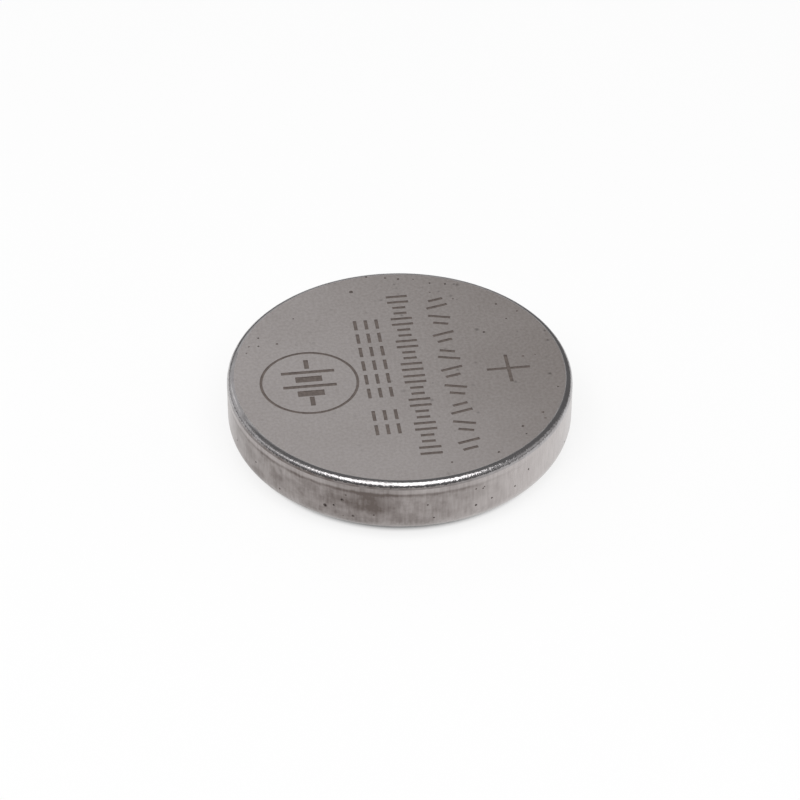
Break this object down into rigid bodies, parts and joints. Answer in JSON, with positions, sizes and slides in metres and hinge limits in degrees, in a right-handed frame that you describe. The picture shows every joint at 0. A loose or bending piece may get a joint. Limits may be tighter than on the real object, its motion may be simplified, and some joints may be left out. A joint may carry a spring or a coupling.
{
  "type": "lithium coin cell",
  "caption": "Flat round lithium cell: steel can crimped over a plastic gasket onto a stepped negative cap, with its electrode stack inside.",
  "frame": {"origin": "centre of the negative contact face, which is the cell's lowest plane", "axes": "+Z along the cell's axis, out of the positive face; the round cell has no other direction, and +X is the way the marks on the positive face read"},
  "size_m": [0.0244, 0.0244, 0.005],
  "materials": {
    "can_steel": "satin, faintly stained",
    "cap_steel": "satin",
    "gasket_plastic": "moulded",
    "lithium": "dull rolled",
    "separator_felt": "felt",
    "cathode_mix": "pressed powder",
    "collector_steel": "expanded sheet"
  },
  "bodies": {
    "root": {"positive_can": "can_steel", "negative_cap": "cap_steel", "gasket": "gasket_plastic", "lithium_disc": "lithium", "separator": "separator_felt", "cathode_pellet": "cathode_mix", "collector_mesh": "collector_steel"}
  },
  "joints": []
}
